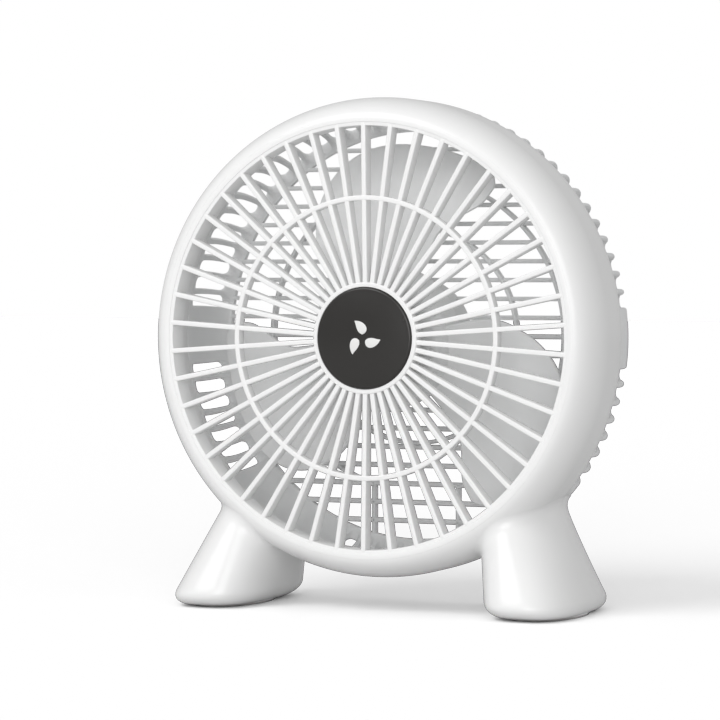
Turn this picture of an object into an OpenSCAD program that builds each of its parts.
// Small desk fan on two splayed feet.
// A round moulded casing holds a spoked front grille, a slatted rear cover with a central motor pot,
// and a three-bladed impeller on the shaft of a small brushed motor.
// Frame: +Z up, the fan blows towards -Y, origin on the table under the middle of the footprint.

/* [Casing] */
// Outer radius of the round casing
casing_r = 80; // [78:0.5:82]
// Height of the fan's axis above the table
axis_height = 91; // [88:0.5:96]
// Inner radius of the casing wall
wall_inner_r = 77; // [76:0.25:77.5]
// Depth of the front housing behind the grille's plane
housing_depth = 27; // [25:0.5:29]
// How far the bezel stands in front of the grille's plane
bezel_proud = 2; // [1:0.25:3]

/* [Feet] */
// Sideways distance of each foot's centre from the middle
foot_x = 57.3; // [54:0.1:60]
// Half the width of a foot at the table
foot_half_width = 17.5; // [15:0.5:20]
// Half the length of a foot at the table
foot_half_length = 30; // [26:0.5:34]
// How far a leg leans inwards over its height
leg_lean_in = 10; // [7:0.5:12]
// How far a leg leans backwards over its height
leg_lean_back = 3.5; // [0:0.5:6]
// Width at the top of a leg as a fraction of its width at the table
leg_taper = 0.75; // [0.7:0.01:0.85]
// Thickness of a leg's shell
leg_wall = 2.6; // [2:0.1:3.2]
// How far the rubber pads stand out under the feet
pad_proud = 0.6; // [0.4:0.1:1]

/* [Front grille] */
// Radius of the front opening
opening_r = 70; // [68:0.5:71]
// Number of spokes
spoke_count = 46; // [30:2:52]
// Width of a spoke
spoke_width = 1.65; // [1.2:0.05:2]
// Depth of a spoke from front to back
spoke_depth = 3.6; // [2.5:0.1:4.5]
// Radius of the ring halfway along the spokes
mid_ring_r = 46.3; // [40:0.1:52]
// Radius of the hub plate
hub_plate_r = 18.5; // [17.5:0.1:20]
// Radius of the dark disc in the hub plate
badge_r = 16.9; // [14:0.1:17]

/* [Rear cover] */
// Distance from the grille's plane to the back of the rear cover
rear_face_y = 47; // [46:0.5:49]
// Number of slot places around the rear corner
slot_places = 80; // [60:4:90]
// Width of a corner slot
slot_width = 4.3; // [3:0.1:4.6]
// Distance from one slat to the next
slat_pitch = 6.37; // [5.5:0.01:7]
// Thickness of a slat
slat_thickness = 1.5; // [1.2:0.1:2]
// Radius of the outer ring that ties the slats
outer_ring_r = 53.8; // [48:0.1:60]
// Radius of the inner ring that ties the slats
inner_ring_r = 36.8; // [30:0.1:42]
// Half the width of the gap in the outer ring
ring_gap_half = 15.5; // [10:0.5:20]

/* [Impeller] */
// Number of blades
blade_count = 3; // [2:1:4]
// Radius of the blade tips
tip_r = 65; // [60:0.5:68]
// Outer radius of the impeller's hub
impeller_hub_r = 23.8; // [22.5:0.1:25]
// Thickness of a blade
blade_thickness = 1.5; // [1:0.1:2]

/* [Motor and controls] */
// Radius of the motor's can
motor_r = 12.2; // [11.5:0.1:12.4]
// Radius of the motor's shaft
shaft_r = 1; // [0.75:0.05:1.15]
// Outer radius of the motor pot
pot_r = 19.8; // [19.5:0.1:20.2]
// How far the button travels
button_travel = 1.2; // [0.6:0.1:1.2]

/* [Hidden] */

$fn = 96;
eps = 0.01;
fit = 0.1;
far = 80;
arc_steps = 10;

// Where the lathe axis and the grille's plane lie in the row frame
foot_center_y = 19.5;

// Casing profile, as radius and depth behind the grille's plane
bezel_inner_r = 72;
bezel_depth = 14;
rim_r = 73.1;
rim_step_y = 0.3;
rim_waist_r = 72.3;
lip_depth = 6.4;
flange_r = 74.4;
rebate_r = 78.4;
rebate_y = 24;
rear_outer_r = 79.6;
corner_r = 67.6;
corner_y = 32;
rear_wall = 2.4;
snap_angles = [0, 90, 180];
snap_width = 8;
snap_y = 25.1;
snap_depth = 1.1;
clip_angles = [45, 135, 225, 315];

// Front grille, as depths behind its plane
spoke_front_y = 0.15;
ring_front_y = -0.4;
badge_seat_y = 0.1;
badge_top_y = -1.3;
clip_width = 5;

// Legs
foot_bottom_z = pad_proud;
leg_top_z = 31;
foot_round = 5;
pad_thickness = 2.2;
pad_scale = 0.7;
foot_opening_scale = 0.55;
leg_floor = 3;
leg_extra = 14;
saddle_r = 82.2;
saddle_gap = 0.2;
leg_screw_angle = -54;
leg_screw_y = 37;
leg_screw_hole_r = 1.5;

// Rear cover
slat_depth = 3;
slot_front_y = 26.4;
slot_rear_y = 43.8;
slot_corner_r = 1.3;
ring_width = 1.2;
ring_depth = 3.4;
ring_y = rear_face_y - 3.5;
side_plain_half = 7;
leg_plain_from = 38;
leg_plain_to = 70;

// Motor pot, motor and board, as depths behind the grille's plane
pot_front_y = 22.5;
pot_plate = 2.2;
pot_wall = 2;
motor_y = pot_front_y + pot_plate;
can_wall = 0.8;
can_rear_y = 37.6;
end_cap_y = 36.4;
motor_rear_y = 38.2;
boss_r = 3;
bush_r = 2.2;
shaft_fit = 0.02;
motor_hole_r = 8.5;
post_r = 2.4;
post_at = 14.9;
board_post_at = 15.2;
board_y = 40.2;
board_thickness = 1;
board_rear_y = board_y + board_thickness;
cover_y = 45.4;
cover_outer_y = 47.4;
button_z = 7.5;
button_r = 4;
socket_z = -8;
socket_w = 8.94;
socket_h = 3.26;
switch_top_y = 43;
plunger_r = 1.6;
plunger_front_y = switch_top_y - 0.1;
button_front_y = 44.3;
button_rear_y = 48.1;
button_flange = 0.8;

// Inside the motor
bush_front_from = motor_y - 1.5;
bush_front_to = 25.9;
bush_rear_from = 36.7;
bush_rear_to = 39.2;
shaft_rear_y = 39.1;
core_front_y = 27;
core_rear_y = 32.4;
core_r = 8.6;
winding_angles = [90, 210, 330];
magnet_inner_r = 9.1;
magnet_from = 26.6;
magnet_length = 8;
magnet_sweep = 130;
commutator_r = 2.5;
commutator_from = 33.6;
commutator_to = 35.9;
brush_from = 34.3;
brush_to = 35.7;
terminal_x = 6;

// Impeller
hub_front_y = 10;
hub_rear_y = 25;
hub_wall = 1.8;
root_r = impeller_hub_r - 1;
blade_rows = 8;
blade_cols = 12;

// Blade edges: angles at the root, how far they turn and over which radii
lead_root_angle = 66;
lead_turn = 10.5;
lead_turn_from_r = 36;
lead_turn_over = 20;
trail_root_angle = 130.5;
trail_turn = 6.5;
trail_turn_from_r = 33;
trail_turn_over = 13.3;

// Blade tip: how far its outline is cut back towards the leading and the trailing edge
nose_angle = 61;
nose_span = 5.5;
nose_cut = 4;
tail_angle = 88;
tail_span = 36;
tail_cut = 18.7;

// Blade pitch: depth of its edges at the root, how far they lie further back at the tip, and its hollow
lead_root_y = 24;
lead_rise = 6.5;
trail_root_y = 13.5;
trail_rise = 10;
camber = 2.2;

white = [0.93, 0.93, 0.92];
inner_white = [0.86, 0.87, 0.87];
charcoal = [0.2, 0.19, 0.18];
rubber = [0.72, 0.72, 0.71];
steel = [0.62, 0.63, 0.65];
bronze = [0.66, 0.5, 0.3];
copper = [0.72, 0.4, 0.2];
black = [0.1, 0.1, 0.1];
board_green = [0.08, 0.32, 0.18];

// ---- placing helpers ----

// Row frame to fan frame: Y stays depth behind the grille's plane, the fan's axis is on Y
module fan_frame() {
    translate([0, -foot_center_y, axis_height])
        children();
}

// Lathe: a profile of [radius, depth] revolved about the fan's axis
module lathe(sweep = 360, from = 0) {
    rotate([-90, 0, 0])
        rotate([0, 0, from])
            rotate_extrude(angle = sweep)
                children();
}

// Turns what lies on +X to an angle measured from +X towards +Z
module at_angle(a) {
    rotate([0, -a, 0])
        children();
}

// A cylinder along Y from depth y0 to y1, centred at x, z
module rod(r, y0, y1, x = 0, z = 0) {
    translate([x, y0, z])
        rotate([-90, 0, 0])
            cylinder(r = r, h = y1 - y0);
}

// A box centred in X and Z, from depth y0 to y1
module slab(w, h, y0, y1, x = 0, z = 0) {
    translate([x - w / 2, y0, z - h / 2])
        cube([w, y1 - y0, h]);
}

// Both sides: draws its children and their mirror image across X = 0
module both_sides() {
    children();
    mirror([1, 0, 0])
        children();
}

// Points of an elliptical arc about c with half axes r and y, between two angles
function arc(c, half, from, to, steps = arc_steps) =
    [for (i = [0 : steps]) let (a = from + (to - from) * i / steps)
        [c[0] + half[0] * cos(a), c[1] + half[1] * sin(a)]];

// Points of a whole ellipse about the origin
function oval(half_x, half_y, steps = 60) =
    [for (i = [0 : steps - 1]) let (a = 360 * i / steps) [half_x * cos(a), half_y * sin(a)]];

// Angle on an ellipse at which its radius coordinate reaches r
function angle_at(c, half, r) = acos((r - c[0]) / half[0]);

// ---- front housing ----

bezel_c = [bezel_inner_r, bezel_depth];
bezel_half = [casing_r - bezel_inner_r, bezel_depth + bezel_proud];
bezel_in_half = [wall_inner_r - bezel_inner_r, bezel_half[1] - 2.4];

module housing_profile() {
    hole_r = rim_r + fit;
    polygon(concat(
        arc(bezel_c, bezel_half, -angle_at(bezel_c, bezel_half, hole_r), 0),
        [[casing_r, housing_depth], [rebate_r, housing_depth], [rebate_r, rebate_y]],
        [[wall_inner_r, rebate_y]],
        arc(bezel_c, bezel_in_half, 0, -angle_at(bezel_c, bezel_in_half, flange_r)),
        [[flange_r, lip_depth], [rim_waist_r + fit, lip_depth]],
        [[rim_waist_r + fit, rim_step_y + fit], [hole_r, rim_step_y + fit]]
    ));
}

// A leg's round body: a tapered column with a rounded foot, sheared inwards and stretched lengthways
module leg_column(half_width, half_length, bottom, round, top) {
    height = leg_top_z - foot_bottom_z;
    narrow = half_width * (1 - leg_taper) / height;
    shear_x = -leg_lean_in / height;
    shear_y = leg_lean_back / height;
    stretch = half_length / half_width;
    translate([foot_x, 0, foot_bottom_z])
        multmatrix([[1, 0, shear_x, 0], [0, stretch, shear_y, 0], [0, 0, 1, 0], [0, 0, 0, 1]])
            rotate_extrude()
                polygon(concat(
                    [[0, bottom]],
                    round > 0
                        ? arc([half_width - round, bottom + round], [round, round], -90, 0, 5)
                        : [[half_width - narrow * bottom, bottom]],
                    [[half_width - narrow * top, top], [0, top]]
                ));
}

// An upright elliptical plug of a foot's outline, scaled
module foot_plug(scale_by, z0, z1) {
    translate([foot_x, 0, z0])
        linear_extrude(height = z1 - z0)
            polygon(oval(foot_half_width * scale_by, foot_half_length * scale_by));
}

// What lies inside the middle of the casing's wall, which the legs are trimmed to
module casing_core() {
    half = (bezel_half + bezel_in_half) / 2;
    lathe()
        polygon(concat(
            [[0, -far], [bezel_inner_r, -far]],
            arc(bezel_c, half, -90, 0),
            [[bezel_inner_r + half[0], housing_depth], [0, housing_depth]]
        ));
}

module leg() {
    difference() {
        leg_column(foot_half_width, foot_half_length, 0, foot_round, leg_top_z + leg_extra);
        difference() {
            leg_column(
                foot_half_width - leg_wall, foot_half_length - leg_wall,
                leg_floor, 0, leg_top_z + leg_extra + 2
            );
            fan_frame() {
                rod(casing_r - 0.5, -far, housing_depth - 2);
                rod(saddle_r, housing_depth - 2 - eps, far);
            }
        }
        foot_plug(foot_opening_scale, -1, 2 * leg_floor);
        foot_plug(pad_scale, -1, pad_thickness);
        fan_frame() {
            casing_core();
            rod(rear_outer_r + saddle_gap, housing_depth, far);
            at_angle(leg_screw_angle)
                translate([rear_outer_r - 2, leg_screw_y, 0])
                    rotate([0, 90, 0])
                        cylinder(r = leg_screw_hole_r, h = 6, $fn = 32);
        }
    }
}

module front_housing() {
    color(white) {
        fan_frame()
            difference() {
                lathe()
                    housing_profile();
                for (a = snap_angles)
                    lathe(snap_width + 2, -a - snap_width / 2 - 1)
                        translate([rebate_r - 1, snap_y - 0.2])
                            square([1.6, snap_depth + 0.4]);
            }
        both_sides()
            leg();
    }
}

// ---- front grille ----

module grille_rim_profile() {
    polygon(concat(
        arc([bezel_inner_r, 0], [bezel_inner_r - opening_r, bezel_proud], -180, -90, 5),
        arc(bezel_c, bezel_half, -85, -angle_at(bezel_c, bezel_half, rim_r), 2),
        [[rim_r, rim_step_y], [rim_waist_r, rim_step_y], [rim_waist_r, lip_depth]],
        [[opening_r, lip_depth]]
    ));
}

module front_grille() {
    mid_half = 0.85;
    mid_depth = 3.2;
    hub_depth = 4.4;
    color(white)
        fan_frame()
            difference() {
                union() {
                    lathe()
                        grille_rim_profile();
                    for (a = clip_angles)
                        lathe(clip_width, -a - clip_width / 2)
                            polygon([
                                [opening_r + 0.3, lip_depth - 0.4], [rim_waist_r - 0.3, lip_depth - 0.4],
                                [rim_waist_r - 0.3, lip_depth + 0.2], [rim_waist_r + 1, lip_depth + 0.2],
                                [rim_waist_r, lip_depth + 1.4], [opening_r + 0.3, lip_depth + 1.4]
                            ]);
                    lathe()
                        translate([mid_ring_r - mid_half, ring_front_y])
                            square([2 * mid_half, mid_depth]);
                    rod(hub_plate_r, ring_front_y, ring_front_y + hub_depth);
                    for (i = [0 : spoke_count - 1])
                        at_angle(90 + i * 360 / spoke_count)
                            translate([hub_plate_r - 1, spoke_front_y, -spoke_width / 2])
                                cube([opening_r - hub_plate_r + 1.6, spoke_depth, spoke_width]);
                }
                rod(badge_r + fit, ring_front_y - 1, badge_seat_y);
            }
}

module badge_disc() {
    color(charcoal)
        fan_frame()
            lathe()
                polygon(concat(
                    [[0, badge_seat_y], [0, badge_top_y], [badge_r * 0.6, badge_top_y + 0.08]],
                    arc([badge_r - 0.5, badge_top_y + 0.8], [0.5, 0.6], -90, 0, 3),
                    [[badge_r, badge_seat_y]]
                ));
}

// ---- rear cover ----

rear_c = [corner_r, corner_y];
rear_half = [rear_outer_r - corner_r, rear_face_y - corner_y];
rear_in_half = [wall_inner_r - corner_r, rear_face_y - corner_y - rear_wall];

module rear_shell_profile() {
    spigot_r = rebate_r - fit;
    polygon(concat(
        [[spigot_r, rebate_y + fit], [spigot_r, housing_depth], [rear_outer_r, housing_depth]],
        arc(rear_c, rear_half, 0, angle_at(rear_c, rear_half, opening_r)),
        arc(rear_c, rear_in_half, angle_at(rear_c, rear_in_half, opening_r), 0),
        [[wall_inner_r, rebate_y + fit]]
    ));
}

// True where the rear corner carries a slot: not at the sides and not over the legs
function has_slot(a) =
    let (below = -a)
    abs(a) > side_plain_half && !(below > leg_plain_from && below < leg_plain_to);

module slot_outline() {
    length = slot_rear_y - slot_front_y;
    flat = slot_width - 2 * slot_corner_r;
    translate([slot_front_y, -slot_width / 2]) {
        translate([slot_corner_r, 0])
            square([length - 2 * slot_corner_r, slot_width]);
        translate([0, slot_corner_r])
            square([length, flat]);
        for (u = [slot_corner_r, length - slot_corner_r], v = [slot_corner_r, slot_width - slot_corner_r])
            translate([u, v])
                circle(r = slot_corner_r, $fn = 24);
    }
}

module corner_slots() {
    step = 360 / slot_places;
    for (side = [0, 1], k = [-slot_places / 4 : slot_places / 4])
        if (has_slot(k * step) && (side == 0 || abs(k) != slot_places / 4))
            mirror([side, 0, 0])
                at_angle(k * step)
                    translate([opening_r + 0.5, 0, 0])
                        rotate([90, 0, 90])
                            linear_extrude(height = 12)
                                slot_outline();
}

module slats() {
    slat_front_y = rear_face_y - slat_depth;
    slat_rear_y = rear_face_y - 0.2;
    rows = floor(opening_r / slat_pitch);
    for (k = [-rows : rows]) {
        z = k * slat_pitch;
        length = 2 * sqrt(pow(opening_r + 0.7, 2) - z * z);
        slab(length, slat_thickness, slat_front_y, slat_rear_y, z = z);
    }
}

module ring(r) {
    lathe()
        translate([r - ring_width / 2, ring_y])
            square([ring_width, ring_depth]);
}

module open_ring() {
    gap_top = -sqrt(pow(outer_ring_r, 2) - pow(ring_gap_half, 2));
    difference() {
        ring(outer_ring_r);
        slab(2 * ring_gap_half, 30, ring_y - 1, rear_face_y + 1, z = gap_top - 13);
    }
    for (side = [-1, 1])
        translate([side * ring_gap_half - ring_width / 2, ring_y, -opening_r])
            cube([ring_width, ring_depth, opening_r + gap_top + 0.3]);
}

module pot_posts() {
    for (side = [-1, 1])
        rod(post_r, motor_y - eps, cover_y, x = side * post_at);
    for (a = [45, 225])
        at_angle(a)
            rod(post_r, motor_y - eps, board_y, x = board_post_at);
}

module rear_cover() {
    board_pilot_r = 0.92;
    cover_pilot_r = 1.02;
    leg_pilot_r = 1.27;
    motor_screw_hole_r = 1.1;
    color(inner_white)
        fan_frame()
            difference() {
                union() {
                    difference() {
                        lathe()
                            rear_shell_profile();
                        corner_slots();
                    }
                    for (a = snap_angles)
                        lathe(snap_width, -a - snap_width / 2)
                            polygon([
                                [rebate_r - 0.6, snap_y], [rebate_r - fit, snap_y],
                                [rebate_r + 0.4, snap_y + snap_depth / 2],
                                [rebate_r + 0.4, snap_y + snap_depth],
                                [rebate_r - 0.6, snap_y + snap_depth]
                            ]);
                    difference() {
                        union() {
                            slats();
                            ring(inner_ring_r);
                            open_ring();
                            rod(pot_r, pot_front_y, rear_face_y);
                        }
                        rod(pot_r - pot_wall, motor_y, rear_face_y + 1);
                    }
                    pot_posts();
                }
                rod(boss_r + 0.15, pot_front_y - 1, motor_y + 1);
                for (side = [-1, 1]) {
                    rod(motor_screw_hole_r, pot_front_y - 1, motor_y + 1, x = side * motor_hole_r);
                    rod(cover_pilot_r, cover_y - 6.5, cover_y + 1, x = side * post_at);
                    at_angle(-90 + side * (90 + leg_screw_angle))
                        translate([wall_inner_r + 0.5, leg_screw_y, 0])
                            rotate([0, 90, 0])
                                cylinder(r = leg_pilot_r, h = 5, $fn = 32);
                }
                for (a = [45, 225])
                    at_angle(a)
                        rod(board_pilot_r, board_y - 5.5, board_y + 1, x = board_post_at);
            }
}

// ---- feet and outside fasteners ----

module foot_pads() {
    color(rubber)
        both_sides()
            foot_plug(pad_scale - 0.01, 0, pad_thickness);
}

// A round-headed screw along +Z, its head's underside at 0 and the shank below
module screw(shank_r, length, head_r, head_h, socket = 0.8) {
    difference() {
        union() {
            translate([0, 0, -length])
                cylinder(r = shank_r, h = length, $fn = 32);
            cylinder(r = head_r, h = head_h * 0.5, $fn = 32);
            translate([0, 0, head_h * 0.5 - eps])
                cylinder(r1 = head_r, r2 = head_r * 0.72, h = head_h * 0.5, $fn = 32);
        }
        for (turn = [0, 90])
            rotate([0, 0, turn])
                translate([-head_r * 0.55, -head_r * 0.12, head_h - socket])
                    cube([head_r * 1.1, head_r * 0.24, socket + 1]);
    }
}

module housing_screws() {
    color(steel)
        both_sides()
            fan_frame()
                at_angle(leg_screw_angle)
                    translate([saddle_r + 0.02, leg_screw_y, 0])
                        rotate([0, 90, 0])
                            screw(1.25, 4.6, 2.4, 1.7);
}

// ---- impeller ----

function smooth(t) = let (c = min(max(t, 0), 1)) c * c * (3 - 2 * c);

// Angles of a blade's leading and trailing edges at radius r
function lead_angle(r) = lead_root_angle - lead_turn * smooth((r - lead_turn_from_r) / lead_turn_over);
function trail_angle(r) =
    let (share = min(max((r - trail_turn_from_r) / trail_turn_over, 0), 1))
    trail_root_angle - trail_turn * share * share;

// Radius of the blade's outline at a share u of its width, from the leading to the trailing edge
function outline_r(u) =
    let (a = lead_angle(tip_r) + u * (trail_angle(tip_r) - lead_angle(tip_r)))
    let (nose = max(0, (nose_angle - a) / nose_span))
    let (tail = max(0, (a - tail_angle) / tail_span))
    tip_r - nose_cut * pow(nose, 2.2) - tail_cut * pow(tail, 2.5);

// Depth of the blade's middle surface, falling from the rear leading edge to the front trailing edge
function blade_y(r, u) =
    let (t = (r - root_r) / (tip_r - root_r))
    let (lead = lead_root_y + lead_rise * t)
    let (trail = trail_root_y + trail_rise * t)
    lead + (trail - lead) * u + camber * 4 * u * (1 - u) * (0.4 + 0.6 * t);

function blade_point(row, col, lift) =
    let (u = col / blade_cols)
    let (r = root_r + (outline_r(u) - root_r) * row / blade_rows)
    let (a = lead_angle(r) + u * (trail_angle(r) - lead_angle(r)))
    [r * cos(a), blade_y(r, u) + lift, r * sin(a)];

module blade() {
    rows = blade_rows + 1;
    cols = blade_cols + 1;
    sheet = rows * cols;
    points = [for (lift = [-blade_thickness / 2, blade_thickness / 2])
        for (row = [0 : blade_rows], col = [0 : blade_cols])
            blade_point(row, col, lift)];
    function id(side, row, col) = side * sheet + row * cols + col;
    front = [for (row = [0 : blade_rows - 1], col = [0 : blade_cols - 1], half = [0, 1])
        half == 0
            ? [id(0, row, col), id(0, row, col + 1), id(0, row + 1, col + 1)]
            : [id(0, row, col), id(0, row + 1, col + 1), id(0, row + 1, col)]];
    back = [for (row = [0 : blade_rows - 1], col = [0 : blade_cols - 1], half = [0, 1])
        half == 0
            ? [id(1, row, col), id(1, row + 1, col + 1), id(1, row, col + 1)]
            : [id(1, row, col), id(1, row + 1, col), id(1, row + 1, col + 1)]];
    ends = [for (col = [0 : blade_cols - 1], half = [0, 1]) each [
        half == 0
            ? [id(0, 0, col), id(1, 0, col), id(1, 0, col + 1)]
            : [id(0, 0, col), id(1, 0, col + 1), id(0, 0, col + 1)],
        half == 0
            ? [id(0, blade_rows, col), id(1, blade_rows, col + 1), id(1, blade_rows, col)]
            : [id(0, blade_rows, col), id(0, blade_rows, col + 1), id(1, blade_rows, col + 1)]]];
    sides = [for (row = [0 : blade_rows - 1], half = [0, 1]) each [
        half == 0
            ? [id(0, row, 0), id(1, row + 1, 0), id(1, row, 0)]
            : [id(0, row, 0), id(0, row + 1, 0), id(1, row + 1, 0)],
        half == 0
            ? [id(0, row, blade_cols), id(1, row, blade_cols), id(1, row + 1, blade_cols)]
            : [id(0, row, blade_cols), id(1, row + 1, blade_cols), id(0, row + 1, blade_cols)]]];
    polyhedron(points = points, faces = concat(front, back, ends, sides));
}

module impeller_hub_profile() {
    round = 4;
    polygon(concat(
        [[0, hub_front_y]],
        arc([impeller_hub_r - round, hub_front_y + round], [round, round], -90, 0, 6),
        [[impeller_hub_r, hub_rear_y], [impeller_hub_r - hub_wall, hub_rear_y]],
        [[impeller_hub_r - hub_wall, hub_front_y + round]],
        [[impeller_hub_r - round, hub_front_y + hub_wall], [0, hub_front_y + hub_wall]]
    ));
}

module impeller() {
    boss_rear_y = 21.5;
    rib_rear_y = 20;
    color(inner_white)
        fan_frame()
            difference() {
                union() {
                    lathe()
                        impeller_hub_profile();
                    rod(4, hub_front_y + 1, boss_rear_y);
                    for (i = [0 : 5])
                        at_angle(i * 60)
                            translate([3, hub_front_y + 1.5, -0.6])
                                cube([impeller_hub_r - 4, rib_rear_y - hub_front_y - 1.5, 1.2]);
                    for (i = [0 : blade_count - 1])
                        at_angle(i * 360 / blade_count)
                            blade();
                }
                rod(shaft_r + 0.01, hub_front_y + 2.5, boss_rear_y + 1);
            }
}

// ---- motor ----

module motor_shaft() {
    color(steel)
        fan_frame()
            rod(shaft_r, hub_front_y + 2.6, shaft_rear_y);
}

module armature_core() {
    slot_gap = 1.9;
    shoe_depth = 1.2;
    color([0.45, 0.46, 0.48])
        fan_frame()
            difference() {
                union() {
                    rod(2.6, core_front_y, core_rear_y);
                    for (a = winding_angles)
                        at_angle(a)
                            translate([2, core_front_y, -1.2])
                                cube([core_r - 2.6, core_rear_y - core_front_y, 2.4]);
                    difference() {
                        rod(core_r, core_front_y, core_rear_y);
                        rod(core_r - shoe_depth, core_front_y - 1, core_rear_y + 1);
                        for (a = winding_angles)
                            at_angle(a + 60)
                                translate([2, core_front_y - 1, -slot_gap / 2])
                                    cube([core_r, core_rear_y - core_front_y + 2, slot_gap]);
                    }
                }
                rod(shaft_r + 0.01, core_front_y - 1, core_rear_y + 1);
            }
}

module armature_windings() {
    color(copper)
        fan_frame()
            for (a = winding_angles)
                at_angle(a)
                    difference() {
                        translate([3.4, core_front_y - 0.9, -2.7])
                            cube([3.4, core_rear_y - core_front_y + 1.8, 5.4]);
                        translate([3, core_front_y - 0.05, -1.25])
                            cube([5, core_rear_y - core_front_y + 0.1, 2.5]);
                    }
}

module commutator() {
    bars = 3;
    color(copper)
        fan_frame()
            difference() {
                rod(commutator_r, commutator_from, commutator_to);
                rod(shaft_r + 0.01, commutator_from - 1, commutator_to + 1);
                for (i = [0 : bars - 1])
                    at_angle(30 + i * 360 / bars)
                        translate([commutator_r - 0.4, commutator_from - 1, -0.15])
                            cube([1, 2.9, 0.3]);
            }
}

module washer(y0, y1) {
    difference() {
        rod(2, y0, y1);
        rod(shaft_r + 0.01, y0 - 1, y1 + 1);
    }
}

module thrust_washers() {
    color(black)
        fan_frame() {
            washer(bush_front_to + 0.05, bush_front_to + 0.45);
            washer(bush_rear_from - 0.55, bush_rear_from - 0.2);
        }
}

module motor_can() {
    screw_pilot_r = 0.96;
    color(steel)
        fan_frame()
            difference() {
                union() {
                    rod(motor_r, motor_y, can_rear_y);
                    rod(boss_r, bush_front_from, motor_y + 1);
                }
                rod(motor_r - can_wall, motor_y + can_wall, can_rear_y + 1);
                rod(bush_r + 0.01, motor_y - 2, motor_y + 2);
                for (side = [-1, 1])
                    rod(screw_pilot_r, motor_y - 1, motor_y + 2, x = side * motor_hole_r);
            }
}

module motor_magnets() {
    color([0.18, 0.18, 0.2])
        fan_frame()
            for (a = [0, 180])
                lathe(magnet_sweep, a - magnet_sweep / 2)
                    translate([magnet_inner_r, magnet_from])
                        square([motor_r - can_wall - magnet_inner_r - 0.02, magnet_length]);
}

module motor_end_cap() {
    color([0.85, 0.85, 0.8])
        fan_frame()
            difference() {
                union() {
                    rod(motor_r - can_wall - 0.03, end_cap_y, motor_rear_y);
                    rod(boss_r, motor_rear_y - 1, bush_rear_to);
                    for (side = [-1, 1])
                        slab(1.2, 1.6, 34.2, end_cap_y + eps, x = side * 3.7, z = 5);
                }
                rod(bush_r + 0.01, 35, 41);
                for (side = [-1, 1])
                    slab(0.5, 2.1, 35, 41, x = side * terminal_x);
            }
}

module bush(y0, y1) {
    color(bronze)
        fan_frame()
            difference() {
                rod(bush_r, y0, y1);
                rod(shaft_r + shaft_fit, y0 - 1, y1 + 1);
            }
}

module front_bush() {
    bush(bush_front_from, bush_front_to);
}

module rear_bush() {
    bush(bush_rear_from, bush_rear_to);
}

module motor_brushes() {
    color(copper)
        fan_frame()
            for (side = [-1, 1]) {
                slab(0.3, 7.5, brush_from, brush_to, x = side * (commutator_r + 0.4), z = 2.1);
                slab(0.24, 1.4, brush_from, brush_to, x = side * (commutator_r + 0.15));
            }
}

module motor_terminals() {
    color(bronze)
        fan_frame()
            for (side = [-1, 1])
                slab(0.4, 2, end_cap_y + 0.1, 39.7, x = side * terminal_x);
}

module motor_screws() {
    color(steel)
        fan_frame()
            for (side = [-1, 1])
                translate([side * motor_hole_r, pot_front_y - 0.02, 0])
                    rotate([90, 0, 0])
                        screw(0.95, 3, 1.7, 1.1, 0.6);
}

module motor_leads() {
    lead_r = 0.45;
    bend_r = 1.2;
    run_y = board_y - bend_r;
    for (side = [-1, 1])
        color(side > 0 ? [0.75, 0.1, 0.1] : black)
            fan_frame()
                translate([side * (terminal_x + 0.25), run_y, 0])
                    mirror([side > 0 ? 0 : 1, 0, 0]) {
                        rotate([0, 90, 0])
                            cylinder(r = lead_r, h = 2.5, $fn = 24);
                        translate([2.5, bend_r, 0])
                            rotate_extrude(angle = -90, $fn = 48)
                                translate([bend_r, 0])
                                    circle(r = lead_r, $fn = 24);
                    }
}

// ---- board and controls ----

module circuit_board() {
    board_r = 16.8;
    color(board_green)
        fan_frame()
            difference() {
                rod(board_r, board_y, board_rear_y);
                for (side = [-1, 1])
                    rod(post_r + 0.3, board_y - 1, board_rear_y + 1, x = side * post_at);
                for (a = [45, 225])
                    at_angle(a)
                        rod(1, board_y - 1, board_rear_y + 1, x = board_post_at);
                slab(socket_w + 0.2, socket_h + 0.2, board_y - 1, board_rear_y + 1, z = socket_z);
            }
}

module board_screws() {
    color(steel)
        fan_frame()
            for (a = [45, 225])
                at_angle(a)
                    translate([board_post_at, board_rear_y + 0.02, 0])
                        rotate([-90, 0, 0])
                            screw(0.85, 4.5, 1.3, 1, 0.5);
}

module speed_chip() {
    color(black)
        fan_frame()
            slab(4, 5, board_rear_y, board_rear_y + 1.6, x = -9, z = -2);
}

module smoothing_capacitor() {
    color([0.3, 0.32, 0.4])
        fan_frame()
            rod(2.2, board_rear_y, board_rear_y + 3.6, x = 9, z = -3.4);
}

// A stadium-shaped bar along Y
module stadium(w, h, y0, y1) {
    rod(h / 2, y0, y1, x = -(w - h) / 2);
    rod(h / 2, y0, y1, x = (w - h) / 2);
    slab(w - h, h, y0, y1);
}

module power_socket() {
    shell = 0.3;
    color(steel)
        fan_frame()
            translate([0, 0, socket_z])
                difference() {
                    stadium(socket_w, socket_h, 39.4, 47.2);
                    stadium(socket_w - 2 * shell, socket_h - 2 * shell, 40.2, 48);
                }
}

module socket_tongue() {
    color(black)
        fan_frame()
            slab(6.7, 0.7, 40.2, 46, z = socket_z);
}

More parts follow.
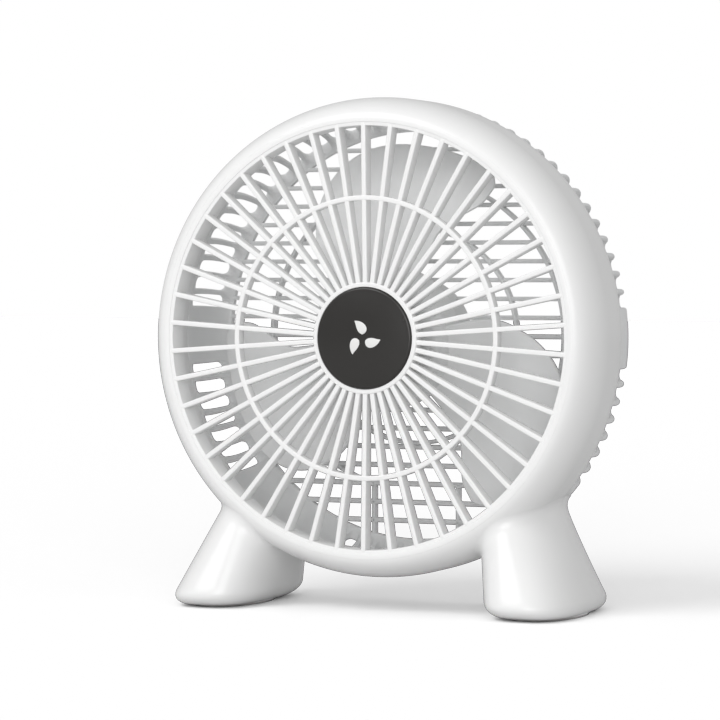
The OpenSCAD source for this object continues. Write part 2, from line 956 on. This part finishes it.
module switch_body() {
    color(black)
        fan_frame()
            difference() {
                slab(6, 6, board_rear_y, switch_top_y, z = button_z);
                rod(plunger_r + 0.3, plunger_front_y - button_travel - 0.2, switch_top_y + 1, z = button_z);
            }
}

module switch_plunger() {
    color([0.8, 0.8, 0.78])
        fan_frame()
            rod(plunger_r, plunger_front_y, button_front_y, z = button_z);
}

module power_button() {
    color(white)
        fan_frame()
            translate([0, 0, button_z])
                lathe()
                    polygon(concat(
                        [[0, button_front_y], [button_r + 1, button_front_y]],
                        [[button_r + 1, button_front_y + button_flange]],
                        [[button_r, button_front_y + button_flange]],
                        arc([button_r - 0.5, button_rear_y - 0.5], [0.5, 0.5], 0, 90, 4),
                        [[0, button_rear_y]]
                    ));
}

module motor_cover() {
    cover_r = pot_r - pot_wall - fit;
    edge = 0.6;
    color(white)
        fan_frame()
            difference() {
                lathe()
                    polygon(concat(
                        [[0, cover_y], [cover_r, cover_y]],
                        arc([cover_r - edge, cover_outer_y - edge], [edge, edge], 0, 90, 4),
                        [[0, cover_outer_y]]
                    ));
                rod(button_r + 0.3, cover_y - 1, cover_outer_y + 1, z = button_z);
                translate([0, 0, socket_z])
                    stadium(socket_w + 0.5, socket_h + 0.5, cover_y - 1, cover_outer_y + 1);
                for (side = [-1, 1]) {
                    rod(1.15, cover_y - 1, cover_outer_y + 1, x = side * post_at);
                    rod(2, cover_outer_y - 0.9, cover_outer_y + 1, x = side * post_at);
                }
            }
}

module cover_screws() {
    color(steel)
        fan_frame()
            for (side = [-1, 1])
                translate([side * post_at, cover_outer_y - 0.88, 0])
                    rotate([-90, 0, 0])
                        screw(1, 6, 1.8, 0.9, 0.6);
}

front_housing();
front_grille();
badge_disc();
rear_cover();
foot_pads();
housing_screws();
impeller();
motor_shaft();
armature_core();
armature_windings();
commutator();
thrust_washers();
motor_can();
motor_magnets();
motor_end_cap();
front_bush();
rear_bush();
motor_brushes();
motor_terminals();
motor_screws();
motor_leads();
circuit_board();
board_screws();
speed_chip();
smoothing_capacitor();
power_socket();
socket_tongue();
switch_body();
switch_plunger();
power_button();
motor_cover();
cover_screws();
